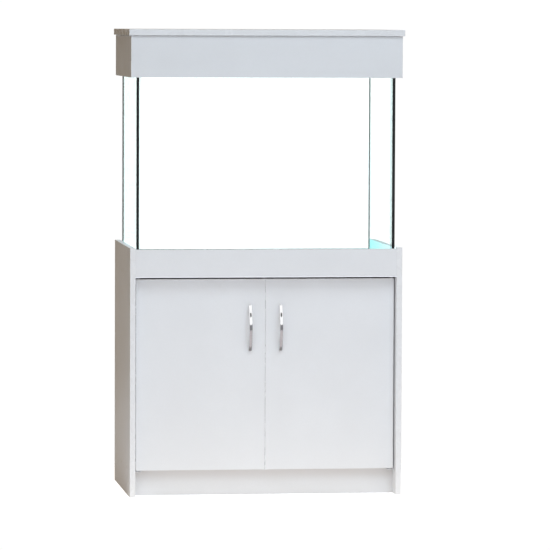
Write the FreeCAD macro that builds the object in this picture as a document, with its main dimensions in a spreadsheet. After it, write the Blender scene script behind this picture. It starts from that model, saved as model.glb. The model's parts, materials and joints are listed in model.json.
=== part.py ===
"""Aquarium stand cabinet with its glass tank and its lidded hood.

The origin is at floor level, under the middle of the whole object. X runs to the right as seen
from the front, Y to the back and Z up. All lengths are in millimetres.
"""
import FreeCAD, Part
import math
import os
import re

import Sketcher
from FreeCAD import Placement, Rotation, Vector

# Driving dimensions: name, value.
SIZES = {
    # cabinet
    "cabinet_width": 800, "cabinet_depth": 480, "cabinet_height": 728,
    "board": 16, "fascia_foot": 642, "fascia_drop": 4,
    "floor_to_shelf": 74, "plinth_recess": 60, "rail_inset": 24,
    "shelf_setback": 51, "back_sheet": 3, "back_foot": 64, "back_top": 700,
    "mat_thick": 6, "hose_hole_radius": 30, "hose_hole_height": 560, "hose_hole_x": 200,
    "fascia_screw_low": 668, "fascia_screw_high": 704, "cap_radius": 6, "cap_thick": 0.8,
    # doors
    "door_recess": 28, "door_side_gap": 4, "door_half_gap": 0.75, "door_foot": 76.6, "door_top": 636,
    # door handles
    "screw_spacing": 128, "handle_length": 135, "handle_foot": 11, "handle_heel": 6,
    "handle_reach": 27, "handle_band": 5.5, "handle_width": 11, "handle_edge": 1.6,
    "handle_height": 493.5, "handle_x": 45, "tap_radius": 1.6, "tap_depth": 5.5,
    "screw_bore": 2.25,
    # door pivots
    "pivot_inset": 8, "pin_radius": 2.5, "pin_length": 22, "pin_play": 0.05,
    "bush_radius": 4, "bush_length": 20, "bush_rim_radius": 6, "bush_rim": 1.2,
    "plate_thick": 2, "plate_width": 18, "plate_reach": 44, "plate_inset": 1,
    # magnetic catches
    "catch_length": 46, "catch_depth": 16, "catch_width": 14, "catch_height": 590,
    "magnet_length": 26, "magnet_depth": 10, "magnet_thick": 5, "pole_thick": 1,
    "pole_reach": 1, "pocket_slack": 1, "catch_screw_end": 5, "catch_screw_head": 1.2,
    "strike_gap": 0.6, "strike_thick": 1.2, "strike_width": 12, "strike_length": 34,
    # tank
    "tank_width": 760, "tank_depth": 444, "tank_height": 610, "glass": 8, "tank_play": 0.3,
    "seam": 6, "seam_stop": 1, "brace_width": 40, "brace_drop": 18, "brace_glass": 6, "cross_width": 100,
    # hood and lid
    "hood_width": 796, "hood_foot": 1223.5, "hood_height": 121.5, "batten": 16,
    "corner_block": 20, "block_drop": 2, "lid_thick": 18, "lid_gap": 0.5, "lid_overhang": 6, "lid_nose": 6,
    # lid hinges
    "leaf_length": 64, "leaf_thick": 1.2, "leaf_height": 24, "lid_leaf_height": 14.6,
    "barrel_radius": 2.8, "barrel_standoff": 3.2, "lid_pin_radius": 1.2, "lid_pin_end": 0.5,
    "hinge_x": 260, "knuckle_play": 0.35, "tab_root": 0.5, "tab_offset": 0.4, "head_proud": 0.1,
}

doc = FreeCAD.newDocument("aquarium_stand")
sheet = doc.addObject("Spreadsheet::Sheet", "sizes")
for row, (alias, value) in enumerate(SIZES.items(), start=1):
    sheet.set(f"A{row}", alias)
    sheet.set(f"B{row}", str(value))
    sheet.setAlias(f"B{row}", alias)
doc.recompute()

SUBPARTS = {}


def bound(formula):
    """The formula as an expression, with each size name pointing at its cell in the sheet."""
    return re.sub(r"[a-z_]+", lambda m: "sizes." + m[0] if m[0] in SIZES else m[0], str(formula))


def value(formula):
    """The formula's value in millimetres, read from the sheet."""
    names = {alias: sheet.get(alias) for alias in SIZES}
    terms = re.sub(r"[a-z_]+", lambda m: str(float(names[m[0]])), str(formula))
    return float(FreeCAD.Units.Quantity(terms).Value)


def keep(obj, name):
    """Registers an object as a sub-part, which its label names."""
    obj.Label = name
    SUBPARTS[name] = obj
    return obj


def bind(obj, **formulas):
    for prop, formula in formulas.items():
        obj.setExpression(prop, bound(formula))


def place(obj, at, rotation=None):
    """Puts an object at a point whose three coordinates are formulas."""
    if rotation is not None:
        obj.Placement = Placement(Vector(), rotation)
    for axis, formula in zip("xyz", at):
        obj.setExpression(f"Placement.Base.{axis}", bound(formula))


def block(name, at, size):
    """A rectangular block from its lowest corner and its three sizes."""
    obj = doc.addObject("Part::Box", name)
    bind(obj, Length=size[0], Width=size[1], Height=size[2])
    place(obj, at)
    return obj


def board(name, at, size):
    return keep(block(name, at, size), name)


TURN_ALONG = {"x": Rotation(Vector(0, 1, 0), 90), "-x": Rotation(Vector(0, 1, 0), -90),
              "y": Rotation(Vector(1, 0, 0), -90), "-y": Rotation(Vector(1, 0, 0), 90),
              "z": Rotation(), "-z": Rotation(Vector(1, 0, 0), 180)}


def rod(name, at, radius, length, along="z"):
    """A cylinder that starts at a point and runs along an axis."""
    obj = doc.addObject("Part::Cylinder", name)
    bind(obj, Radius=radius, Height=length)
    place(obj, at, TURN_ALONG[along])
    return obj


def fused(name, shapes):
    obj = doc.addObject("Part::MultiFuse", name)
    obj.Shapes = shapes
    return obj


def cut(name, base, tools):
    obj = doc.addObject("Part::Cut", name)
    obj.Base = base
    obj.Tool = tools[0] if len(tools) == 1 else fused(name + "_tools", tools)
    return obj


def group(name, shapes):
    """Identical pieces as separate solids of one sub-part."""
    obj = doc.addObject("Part::Compound", name)
    obj.Links = shapes
    return keep(obj, name)


def body_sketch(body, name, plane):
    """A sketch on one of the body's own origin planes."""
    sketch = body.newObject("Sketcher::SketchObject", name)
    support = next(f for f in body.Origin.OriginFeatures if f.Role == plane)
    sketch.AttachmentSupport = [(support, "")]
    sketch.MapMode = "FlatFace"
    return sketch


def pin_point(sketch, geo, end, x, y, tag):
    """Fixes a sketch point at formulas, signed by which side of each axis it lies on."""
    sketch_x, sketch_y = value(x), value(y)
    for kind, number, formula in (("DistanceX", sketch_x, x), ("DistanceY", sketch_y, y)):
        index = sketch.addConstraint(Sketcher.Constraint(kind, -1, 1, geo, end, number))
        sketch.renameConstraint(index, f"{tag}_{kind[-1].lower()}")
        sketch.setExpression(f"Constraints.{tag}_{kind[-1].lower()}", bound(formula))


def outline(sketch, corners, tag="corner"):
    """A closed outline of straight runs through corners given as pairs of formulas."""
    points = [Vector(value(x), value(y), 0) for x, y in corners]
    first = sketch.GeometryCount
    for start, end in zip(points, points[1:] + points[:1]):
        sketch.addGeometry(Part.LineSegment(start, end))
    count = len(points)
    for i in range(count):
        following = first + (i + 1) % count
        sketch.addConstraint(Sketcher.Constraint("Coincident", first + i, 2, following, 1))
    for i, (x, y) in enumerate(corners):
        pin_point(sketch, first + i, 1, x, y, f"{tag}{i}")


def round_hole(sketch, x, y, radius, tag):
    circle = Part.Circle(Vector(value(x), value(y), 0), Vector(0, 0, 1), value(radius))
    geo = sketch.addGeometry(circle)
    pin_point(sketch, geo, 3, x, y, tag)
    index = sketch.addConstraint(Sketcher.Constraint("Radius", geo, value(radius)))
    sketch.renameConstraint(index, tag + "_radius")
    sketch.setExpression(f"Constraints.{tag}_radius", bound(radius))


def pad(body, sketch, length, midplane=False):
    feature = body.newObject("PartDesign::Pad", sketch.Name + "_pad")
    feature.Profile = sketch
    bind(feature, Length=length)
    if midplane:
        feature.SideType = "Symmetric"
    return feature


# ---------------------------------------------------------------- fasteners

def screw_master(name, head_radius, head_height, shank_radius, length, countersunk=True):
    """A screw with its head's top face at the origin and its shank down -Z, turned from a profile."""
    body = doc.addObject("PartDesign::Body", name)
    sketch = body_sketch(body, name + "_profile", "XZ_Plane")
    tip = length - shank_radius
    rim = head_height * 0.25 if countersunk else head_height
    corners = [(0, 0), (head_radius, 0), (head_radius, -rim), (shank_radius, -head_height),
               (shank_radius, -tip), (shank_radius * 0.35, -length), (0, -length)]
    if not countersunk:
        corners[1:2] = [(head_radius * 0.7, 0), (head_radius, -head_height * 0.4)]
    outline(sketch, corners)
    turned = body.newObject("PartDesign::Revolution", name + "_turned")
    turned.Profile = sketch
    turned.ReferenceAxis = (sketch, ["V_Axis"])
    turned.Angle = 360
    doc.recompute()
    return body


def scatter(name, master, places):
    """Copies of a fastener: each place is a head's top centre and the direction its shank points."""
    copies = []
    for at, along in places:
        turn = Rotation(Vector(0, 0, -1), along)
        copy = master.Shape.copy()
        copy.Placement = Placement(Vector(*(value(c) for c in at)), turn)
        copies.append(copy)
    obj = doc.addObject("Part::Feature", name)
    obj.Shape = Part.makeCompound(copies)
    return keep(obj, name)


# ---------------------------------------------------------------- cabinet

FRONT = "-cabinet_depth/2"
SIDES = {"left": -1, "right": 1}
INNER = "(cabinet_width/2 - board)"
DECK_TOP = "(fascia_foot + board)"
SHELF_TOP = "(floor_to_shelf + board)"
SHELF_FRONT = "(shelf_setback - cabinet_depth/2)"
SHEET_FRONT = "(cabinet_depth/2 - back_sheet)"
SHELF_DEPTH = f"{SHEET_FRONT} - {SHELF_FRONT}"
SPAN = f"2*{INNER}"


def cabinet_boards():
    for side, sign in SIDES.items():
        start = "-cabinet_width/2" if sign < 0 else INNER
        board(f"side_panel_{side}", (start, FRONT, 0), ("board", "cabinet_depth", "cabinet_height"))
    left = f"-{INNER}"
    board("fascia", (left, FRONT, "fascia_foot"),
          (SPAN, "board", "cabinet_height - fascia_drop - fascia_foot"))
    board("deck_board", (left, f"{FRONT} + board", "fascia_foot"),
          (SPAN, f"{SHEET_FRONT} - ({FRONT} + board)", "board"))
    board("bottom_board", (left, SHELF_FRONT, "floor_to_shelf"), (SPAN, SHELF_DEPTH, "board"))
    board("centre_partition", ("-board/2", SHELF_FRONT, SHELF_TOP),
          ("board", SHELF_DEPTH, f"fascia_foot - {SHELF_TOP}"))
    board("plinth_board", (left, f"{FRONT} + plinth_recess", 0), (SPAN, "board", "floor_to_shelf"))
    board("rear_rail", (left, "cabinet_depth/2 - rail_inset - board", 0),
          (SPAN, "board", "floor_to_shelf"))
    board("tank_mat", ("-tank_width/2", "-tank_depth/2", DECK_TOP),
          ("tank_width", "tank_depth", "mat_thick"))


def back_panel():
    """A thin sheet between the side panels with one hose hole behind each bay."""
    body = doc.addObject("PartDesign::Body", "back_panel")
    sketch = body_sketch(body, "back_outline", "XZ_Plane")
    outline(sketch, [(f"-{INNER}", "back_foot"), (INNER, "back_foot"),
                     (INNER, "back_top"), (f"-{INNER}", "back_top")])
    round_hole(sketch, "-hose_hole_x", "hose_hole_height", "hose_hole_radius", "hole_left")
    round_hole(sketch, "hose_hole_x", "hose_hole_height", "hose_hole_radius", "hole_right")
    pad(body, sketch, "back_sheet")
    place(body, (0, "cabinet_depth/2", 0))
    keep(body, "back_panel")


# Where the rows of fasteners stand along the depth, the width or the height.
BOARD_SCREW_Y = (-150, 15, 178)
PARTITION_TOP_Y, PARTITION_FOOT_Y = (-120, 40, 200), (-120, 40, 180)
NAIL_X, PARTITION_NAIL_Z = (-360, -180, 0, 180, 360), (220, 360, 500)


def cabinet_fasteners():
    connector = screw_master("connector_screw", head_radius=5, head_height=4, shank_radius=3.2,
                             length=50)
    for side, sign in SIDES.items():
        face = f"{sign}*cabinet_width/2"
        inward = Vector(-sign, 0, 0)
        rows = [(f"{FRONT} + board/2", z) for z in ("fascia_screw_low", "fascia_screw_high")]
        rows += [(y, "fascia_foot + board/2") for y in BOARD_SCREW_Y]
        rows += [(y, "floor_to_shelf + board/2") for y in BOARD_SCREW_Y]
        rows += [(f"{FRONT} + plinth_recess + board/2", "floor_to_shelf/2"),
                 ("cabinet_depth/2 - rail_inset - board/2", "floor_to_shelf/2")]
        scatter(f"side_screws_{side}", connector, [((face, y, z), inward) for y, z in rows])
        # The rear deck screw of the left side has no cap.
        rear_deck_row = (BOARD_SCREW_Y[2], "fascia_foot + board/2")
        capped = [row for row in rows if side == "right" or row != rear_deck_row]
        outward = "-x" if sign < 0 else "x"
        caps = [rod(f"cap_{side}_{i}", (face, y, z), "cap_radius", "cap_thick", outward)
                for i, (y, z) in enumerate(capped)]
        group(f"screw_caps_{side}", caps)
    down, up = Vector(0, 0, -1), Vector(0, 0, 1)
    rows = [((0, y, DECK_TOP), down) for y in PARTITION_TOP_Y]
    rows += [((0, y, "floor_to_shelf"), up) for y in PARTITION_FOOT_Y]
    scatter("partition_screws", connector, rows)

    nail = screw_master("nail", head_radius=2.5, head_height=1, shank_radius=0.8, length=20,
                        countersunk=False)
    rear = "cabinet_depth/2 + 1 - head_proud"
    rows = [(x, height) for height in ("fascia_foot + board/2", "floor_to_shelf + board/2")
            for x in NAIL_X]
    rows += [(0, height) for height in PARTITION_NAIL_Z]
    scatter("back_panel_nails", nail, [((x, rear, z), Vector(0, -1, 0)) for x, z in rows])


# ---------------------------------------------------------------- door pivots

DOOR_FRONT = "(door_recess - cabinet_depth/2)"
DOOR_BACK = "(door_recess - cabinet_depth/2 + board)"
PIVOT_X = "(cabinet_width/2 - board - door_side_gap - pivot_inset)"
PIVOT_Y = "(door_recess - cabinet_depth/2 + board/2)"
PLATE_FRONT = "(door_recess - cabinet_depth/2 + plate_inset)"
HINGE_SCREW_STEPS = (12, 32)


def upper_plates():
    """Flat plates under the deck board that reach forward over the doors' hinge corners."""
    plates = []
    for side, sign in SIDES.items():
        start = f"{sign}*{PIVOT_X} - plate_width/2"
        plates.append(block(f"upper_plate_{side}", (start, PLATE_FRONT, "fascia_foot - plate_thick"),
                            ("plate_width", f"{SHELF_FRONT} + plate_reach - {PLATE_FRONT}",
                             "plate_thick")))
    group("hinge_plates_upper", plates)


def lower_plates():
    """Cranked plates that lie on the bottom board and drop in front of it to reach under the doors."""
    plates = []
    web = f"({SHELF_FRONT} - plate_thick)"
    tab = "(floor_to_shelf - plate_thick)"
    profile = [(PLATE_FRONT, tab), (SHELF_FRONT, tab), (SHELF_FRONT, SHELF_TOP),
               (f"{SHELF_FRONT} + plate_reach", SHELF_TOP),
               (f"{SHELF_FRONT} + plate_reach", f"{SHELF_TOP} + plate_thick"),
               (web, f"{SHELF_TOP} + plate_thick"), (web, f"{tab} + plate_thick"),
               (PLATE_FRONT, f"{tab} + plate_thick")]
    for side, sign in SIDES.items():
        body = doc.addObject("PartDesign::Body", f"lower_plate_{side}")
        sketch = body_sketch(body, f"crank_{side}", "YZ_Plane")
        outline(sketch, profile)
        pad(body, sketch, "plate_width", midplane=True)
        place(body, (f"{sign}*{PIVOT_X}", 0, 0))
        plates.append(body)
    group("hinge_plates_lower", plates)


def pivot_pins_and_screws():
    pins, heads = [], []
    wood_screw = screw_master("hinge_screw", head_radius=3.6, head_height=2, shank_radius=1.7,
                              length=14)
    for side, sign in SIDES.items():
        x = f"{sign}*{PIVOT_X}"
        pins.append(rod(f"pin_upper_{side}", (x, PIVOT_Y, "fascia_foot"), "pin_radius",
                        "pin_length + plate_thick", "-z"))
        pins.append(rod(f"pin_lower_{side}", (x, PIVOT_Y, "floor_to_shelf - plate_thick"),
                        "pin_radius", "pin_length + plate_thick", "z"))
        for step in HINGE_SCREW_STEPS:
            heads.append(((x, f"{SHELF_FRONT} + {step}", "fascia_foot - plate_thick"),
                          Vector(0, 0, 1)))
            heads.append(((x, f"{SHELF_FRONT} + {step}", f"{SHELF_TOP} + plate_thick"),
                          Vector(0, 0, -1)))
    group("hinge_pins", pins)
    scatter("hinge_plate_screws", wood_screw, heads)


# ---------------------------------------------------------------- doors

DOOR_OUTER = "(cabinet_width/2 - board - door_side_gap)"
DOOR_WIDTH = f"({DOOR_OUTER} - door_half_gap)"
HANDLE_SCREWS = ("-screw_spacing/2", "screw_spacing/2")


def door_board(side, sign):
    """A door board with bores for its two hinge bushes and its two handle screws."""
    start = f"-{DOOR_OUTER}" if sign < 0 else "door_half_gap"
    blank = block(f"door_blank_{side}", (start, DOOR_FRONT, "door_foot"),
                  (DOOR_WIDTH, "board", "door_top - door_foot"))
    x = f"{sign}*{PIVOT_X}"
    bores = [rod(f"bore_upper_{side}", (x, PIVOT_Y, "door_top"), "bush_radius", "bush_length", "-z"),
             rod(f"bore_lower_{side}", (x, PIVOT_Y, "door_foot"), "bush_radius", "bush_length", "z")]
    for i, step in enumerate(HANDLE_SCREWS):
        at = (f"{sign}*handle_x", DOOR_BACK, f"handle_height + {step}")
        bores.append(rod(f"screw_bore_{side}_{i}", at, "screw_bore", "board", "-y"))
    keep(cut(f"door_{side}", blank, bores), f"door_{side}")


def hinge_bushes(side, sign):
    """Rimmed sleeves in the door's top and bottom edges, which turn on the fixed pins."""
    x = f"{sign}*{PIVOT_X}"
    bushes = []
    for end, edge, inwards, outwards in (("upper", "door_top", "-z", "z"),
                                         ("lower", "door_foot", "z", "-z")):
        tag = f"{end}_{side}"
        sleeve = rod(f"sleeve_{tag}", (x, PIVOT_Y, edge), "bush_radius", "bush_length", inwards)
        rim = rod(f"rim_{tag}", (x, PIVOT_Y, edge), "bush_rim_radius", "bush_rim", outwards)
        outer = f"{edge} + bush_rim" if outwards == "z" else f"{edge} - bush_rim"
        bore = rod(f"bore_{tag}", (x, PIVOT_Y, outer), "pin_radius + pin_play",
                   "bush_length + bush_rim", inwards)
        bushes.append(cut(f"bush_{tag}", fused(f"bush_blank_{tag}", [sleeve, rim]), [bore]))
    group(f"hinge_bushes_{side}", bushes)


def arc_radius(half_chord, rise):
    """The radius of an arc as a formula, from half its chord and its rise."""
    return f"(({half_chord})*({half_chord}) + ({rise})*({rise})) / (2*({rise}))"


def bow_handle(side, sign):
    """A bow handle: a band between two arcs, which ends in two square feet on the door's face."""
    body = doc.addObject("PartDesign::Body", f"handle_{side}")
    sketch = body_sketch(body, f"bow_{side}", "YZ_Plane")
    end, toe = "handle_length/2", "handle_length/2 - handle_foot"
    heel, reach, hollow = "handle_heel", "handle_reach", "handle_reach - handle_band"
    corners = [("0", end), (f"-{heel}", end), (f"-{heel}", f"-{end}"), ("0", f"-{end}"),
               ("0", f"-({toe})"), ("0", toe)]
    points = [Vector(value(x), value(y), 0) for x, y in corners]
    crests = {1: Vector(-value(reach), 0, 0), 4: Vector(-value(hollow), 0, 0)}
    # An arc is kept anticlockwise, so each run records which of its ends is the outline's start.
    starts = []
    for i, start in enumerate(points):
        stop = points[(i + 1) % len(points)]
        if i in crests:
            geo = sketch.addGeometry(Part.Arc(start, crests[i], stop))
            starts.append(1 if sketch.getPoint(geo, 1).distanceToPoint(start) < 0.01 else 2)
        else:
            sketch.addGeometry(Part.LineSegment(start, stop))
            starts.append(1)
    for i, start_end in enumerate(starts):
        following = (i + 1) % len(starts)
        sketch.addConstraint(Sketcher.Constraint("Coincident", i, 3 - start_end,
                                                 following, starts[following]))
    for i, (x, y) in enumerate(corners):
        pin_point(sketch, i, starts[i], x, y, f"corner{i}")
    for geo, half, rise, tag in ((1, end, f"{reach} - {heel}", "outer_radius"),
                                 (4, toe, hollow, "inner_radius")):
        formula = arc_radius(half, rise)
        index = sketch.addConstraint(Sketcher.Constraint("Radius", geo, value(formula)))
        sketch.renameConstraint(index, tag)
        sketch.setExpression("Constraints." + tag, bound(formula))
    band = pad(body, sketch, "handle_width", midplane=True)
    doc.recompute()
    edges = [f"Edge{i}" for i, edge in enumerate(band.Shape.Edges, start=1)
             if isinstance(edge.Curve, Part.Circle)]
    rounded = body.newObject("PartDesign::Fillet", f"bow_{side}_rounded")
    rounded.Base = (band, edges)
    bind(rounded, Radius="handle_edge")
    doc.recompute()
    whole = rounded.Shape.Volume
    # Tapped holes for the two screws, drilled into the feet from the door's face.
    drill = body_sketch(body, f"tapped_{side}", "XZ_Plane")
    for half, tag in (("-screw_spacing/2", "lower"), ("screw_spacing/2", "upper")):
        round_hole(drill, "0", half, "tap_radius", tag)
    holes = body.newObject("PartDesign::Pocket", f"bow_{side}_tapped")
    holes.Profile = drill
    bind(holes, Length="tap_depth")
    holes.Reversed = True
    doc.recompute()
    drilled = 2 * math.pi * value("tap_radius") ** 2 * value("tap_depth")
    assert abs(whole - holes.Shape.Volume - drilled) < 0.02 * drilled, "the tapped holes are wrong"
    place(body, (f"{sign}*handle_x", DOOR_FRONT, "handle_height"))
    keep(body, f"handle_{side}")


def doors():
    head_height = 2.6
    machine_screw = screw_master("handle_screw", head_radius=4, head_height=head_height,
                                 shank_radius=1.6, length=22, countersunk=False)
    strike_screw = screw_master("strike_screw", head_radius=3, head_height=1.4, shank_radius=1.4,
                                length=11)
    for side, sign in SIDES.items():
        door_board(side, sign)
        hinge_bushes(side, sign)
        bow_handle(side, sign)
        heads = [((f"{sign}*handle_x", f"{DOOR_BACK} + {head_height}", f"handle_height + {step}"),
                  Vector(0, -1, 0)) for step in HANDLE_SCREWS]
        scatter(f"handle_screws_{side}", machine_screw, heads)
        centre = f"{sign}*(board + catch_width)/2"
        board(f"strike_plate_{side}",
              (f"{centre} - strike_width/2", DOOR_BACK, "catch_height - strike_length/2"),
              ("strike_width", "strike_thick", "strike_length"))
        scatter(f"strike_screw_{side}", strike_screw,
                [((centre, f"{DOOR_BACK} + strike_thick", "catch_height"), Vector(0, -1, 0))])


# ---------------------------------------------------------------- magnetic catches

def catches():
    """Magnetic catches on both sides of the partition, each facing a strike plate on a door."""
    cases, magnets, poles, heads = [], [], [], []
    face = f"({DOOR_BACK} + strike_thick + strike_gap)"
    body_face = f"({face} + pole_reach)"
    foot = "(catch_height - magnet_length/2)"
    case_screw = screw_master("catch_screw", head_radius=2.8, head_height=1.2, shank_radius=1.4,
                              length=20, countersunk=False)
    for side, sign in SIDES.items():
        centre = f"({sign}*(board + catch_width)/2)"
        shell = block(f"catch_shell_{side}",
                      (f"{centre} - catch_width/2", body_face, "catch_height - catch_length/2"),
                      ("catch_width", "catch_depth", "catch_length"))
        pocket = block(f"catch_pocket_{side}",
                       (f"{centre} - magnet_thick/2 - pole_thick", f"{body_face} - pocket_slack", foot),
                       ("magnet_thick + 2*pole_thick", "magnet_depth + pocket_slack",
                        "magnet_length"))
        cases.append(cut(f"catch_case_{side}", shell, [pocket]))
        magnets.append(block(f"catch_magnet_{side}", (f"{centre} - magnet_thick/2", body_face, foot),
                             ("magnet_thick", "magnet_depth", "magnet_length")))
        for end, x in (("low", f"{centre} - magnet_thick/2 - pole_thick"),
                       ("high", f"{centre} + magnet_thick/2")):
            poles.append(block(f"pole_{end}_{side}", (x, face, foot),
                               ("pole_thick", "magnet_depth + pole_reach", "magnet_length")))
        for step in ("-(catch_length/2 - catch_screw_end)", "(catch_length/2 - catch_screw_end)"):
            head = f"{sign}*(board/2 + catch_width + catch_screw_head)"
            heads.append(((head, f"{body_face} + catch_depth/2", f"catch_height + {step}"),
                          Vector(-sign, 0, 0)))
    group("catch_cases", cases)
    group("catch_magnets", magnets)
    group("catch_pole_plates", poles)
    scatter("catch_screws", case_screw, heads)


# ---------------------------------------------------------------- tank

TANK_FOOT = f"({DECK_TOP} + mat_thick + tank_play)"
TANK_FLOOR = f"({DECK_TOP} + mat_thick + tank_play + glass)"
TANK_TOP = f"({DECK_TOP} + mat_thick + tank_play + tank_height)"
HALF_W, HALF_D = "(tank_width/2)", "(tank_depth/2)"


def tank_panes():
    wall = "tank_height - glass"
    board("tank_base", (f"-{HALF_W}", f"-{HALF_D}", TANK_FOOT), ("tank_width", "tank_depth", "glass"))
    board("tank_front", (f"-{HALF_W}", f"-{HALF_D}", TANK_FLOOR), ("tank_width", "glass", wall))
    board("tank_back", (f"-{HALF_W}", f"{HALF_D} - glass", TANK_FLOOR), ("tank_width", "glass", wall))
    for side, sign in SIDES.items():
        start = f"-{HALF_W}" if sign < 0 else f"{HALF_W} - glass"
        board(f"tank_side_{side}", (start, f"glass - {HALF_D}", TANK_FLOOR),
              ("glass", "tank_depth - 2*glass", wall))
    strip = ("tank_width - 2*glass", "brace_width", "brace_glass")
    height = f"({TANK_TOP} - brace_drop - brace_glass)"
    left = f"glass - {HALF_W}"
    board("brace_front", (left, f"glass - {HALF_D}", height), strip)
    board("brace_back", (left, f"{HALF_D} - glass - brace_width", height), strip)
    board("brace_cross", ("-cross_width/2", f"glass - {HALF_D}", f"{height} + brace_glass"),
          ("cross_width", "tank_depth - 2*glass", "brace_glass"))


def seam_prism(name, corner, legs, run):
    """A triangular seam: legs are its two edges from the inner corner, and run is its length."""
    start = Vector(*(value(c) for c in corner))
    face = Part.Face(Part.makePolygon([start, start + legs[0], start + legs[1], start]))
    obj = doc.addObject("Part::Feature", name)
    obj.Shape = face.extrude(run)
    return obj


def silicone():
    seams = []
    size, top = value("seam"), value(f"{TANK_TOP} - brace_drop - brace_glass - seam_stop")
    inner_x, inner_y, floor = value(f"{HALF_W} - glass"), value(f"{HALF_D} - glass"), value(TANK_FLOOR)
    for sx in (-1, 1):
        for sy in (-1, 1):
            legs = (Vector(-sx * size, 0, 0), Vector(0, -sy * size, 0))
            seams.append(seam_prism(f"seam_post_{len(seams)}", (sx * inner_x, sy * inner_y, floor),
                                    legs, Vector(0, 0, top - floor)))
    for sign in (-1, 1):
        long_run = Vector(2 * (inner_x - size), 0, 0)
        legs = (Vector(0, -sign * size, 0), Vector(0, 0, size))
        seams.append(seam_prism(f"seam_long_{sign + 1}", (size - inner_x, sign * inner_y, floor),
                                legs, long_run))
        short_run = Vector(0, 2 * (inner_y - size), 0)
        legs = (Vector(-sign * size, 0, 0), Vector(0, 0, size))
        seams.append(seam_prism(f"seam_short_{sign + 1}", (sign * inner_x, size - inner_y, floor),
                                legs, short_run))
    group("silicone_seams", seams)


# ---------------------------------------------------------------- hood and lid

HOOD_TOP = "(hood_foot + hood_height)"
HOOD_X = "(hood_width/2)"
HOOD_IN_X = "(hood_width/2 - board)"
HOOD_IN_Y = "(cabinet_depth/2 - board)"
REST = f"({TANK_TOP} + tank_play)"


def hood_boards():
    face = ("hood_width", "board", "hood_height")
    board("hood_front", (f"-{HOOD_X}", FRONT, "hood_foot"), face)
    board("hood_back", (f"-{HOOD_X}", HOOD_IN_Y, "hood_foot"), face)
    for side, sign in SIDES.items():
        start = f"-{HOOD_X}" if sign < 0 else HOOD_IN_X
        board(f"hood_side_{side}", (start, f"-{HOOD_IN_Y}", "hood_foot"),
              ("board", f"2*{HOOD_IN_Y}", "hood_height"))
    battens, blocks = [], []
    for side, sign in SIDES.items():
        start = f"-{HOOD_IN_X}" if sign < 0 else f"{HOOD_IN_X} - batten"
        battens.append(block(f"batten_{side}", (start, f"-{HOOD_IN_Y}", REST),
                             ("batten", f"2*{HOOD_IN_Y}", "batten")))
        start = f"-{HOOD_IN_X}" if sign < 0 else f"{HOOD_IN_X} - corner_block"
        for end, y in (("front", f"-{HOOD_IN_Y}"), ("back", f"{HOOD_IN_Y} - corner_block")):
            height = f"{HOOD_TOP} - {REST} - batten - block_drop"
            blocks.append(block(f"block_{side}_{end}", (start, y, f"{REST} + batten"),
                                ("corner_block", "corner_block", height)))
    group("hood_battens", battens)
    group("hood_corner_blocks", blocks)
    board("lid_board", (f"-{HOOD_X} - lid_overhang", f"{FRONT} - lid_nose", f"{HOOD_TOP} + lid_gap"),
          ("hood_width + 2*lid_overhang", "cabinet_depth + lid_nose", "lid_thick"))


KNUCKLES = 5
LEAF_SCREW_STEPS = (-22, 0, 22)
AXIS_Z = "(hood_foot + hood_height + lid_gap/2)"
AXIS_Y = "(cabinet_depth/2 + barrel_standoff)"


def hinge_leaf(name, centre_x, knuckles, above):
    """A hinge leaf on the rear face: a flat plate with tabs and rolled knuckles at some places."""
    pitch = value("leaf_length") / KNUCKLES
    clear = value("barrel_radius + knuckle_play")
    axis_y, axis_z = value(AXIS_Y), value(AXIS_Z)
    rear = value("cabinet_depth/2")
    height = value("lid_leaf_height") if above else value("leaf_height")
    start_x = centre_x - value("leaf_length") / 2
    foot = axis_z + clear if above else axis_z - clear - height
    shapes = [Part.makeBox(value("leaf_length"), value("leaf_thick"), height,
                           Vector(start_x, rear, foot))]
    for i in knuckles:
        x = start_x + i * pitch + value("knuckle_play") / 2
        width = pitch - value("knuckle_play")
        barrel = Part.makeCylinder(value("barrel_radius"), width, Vector(x, axis_y, axis_z),
                                   Vector(1, 0, 0))
        tab_height = clear + value("tab_root")
        tab_foot = axis_z if above else axis_z - tab_height
        tab = Part.makeBox(width, value("leaf_thick"), tab_height,
                           Vector(x, rear + value("tab_offset"), tab_foot))
        shapes += [barrel, tab]
    leaf = shapes[0].multiFuse(shapes[1:])
    bore = Part.makeCylinder(value("lid_pin_radius + pin_play"), value("leaf_length"),
                             Vector(start_x, axis_y, axis_z), Vector(1, 0, 0))
    obj = doc.addObject("Part::Feature", name)
    obj.Shape = leaf.cut(bore).removeSplitter()
    assert len(obj.Shape.Solids) == 1, name + " is not one piece"
    return obj, foot + height / 2


def lid_hinges():
    """Two butt hinges on the rear faces of the hood and the lid."""
    leaf_screw = screw_master("leaf_screw", head_radius=2.6, head_height=1.2, shank_radius=1.3,
                              length=13)
    fixed, moving, pins, fixed_heads, moving_heads = [], [], [], [], []
    for side, sign in SIDES.items():
        centre = sign * value("hinge_x")
        low, low_mid = hinge_leaf(f"leaf_hood_{side}", centre, (0, 2, 4), above=False)
        high, high_mid = hinge_leaf(f"leaf_lid_{side}", centre, (1, 3), above=True)
        fixed.append(low)
        moving.append(high)
        start_x = f"{sign}*hinge_x - leaf_length/2 - lid_pin_end"
        pins.append(rod(f"lid_pin_{side}", (start_x, AXIS_Y, AXIS_Z), "lid_pin_radius",
                        "leaf_length + 2*lid_pin_end", "x"))
        for step in LEAF_SCREW_STEPS:
            rear = "cabinet_depth/2 + leaf_thick + head_proud"
            fixed_heads.append(((centre + step, rear, low_mid), Vector(0, -1, 0)))
            moving_heads.append(((centre + step, rear, high_mid + 1), Vector(0, -1, 0)))
    group("hinge_leaves_hood", fixed)
    group("hinge_leaves_lid", moving)
    group("lid_hinge_pins", pins)
    scatter("leaf_screws_hood", leaf_screw, fixed_heads)
    scatter("leaf_screws_lid", leaf_screw, moving_heads)


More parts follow.
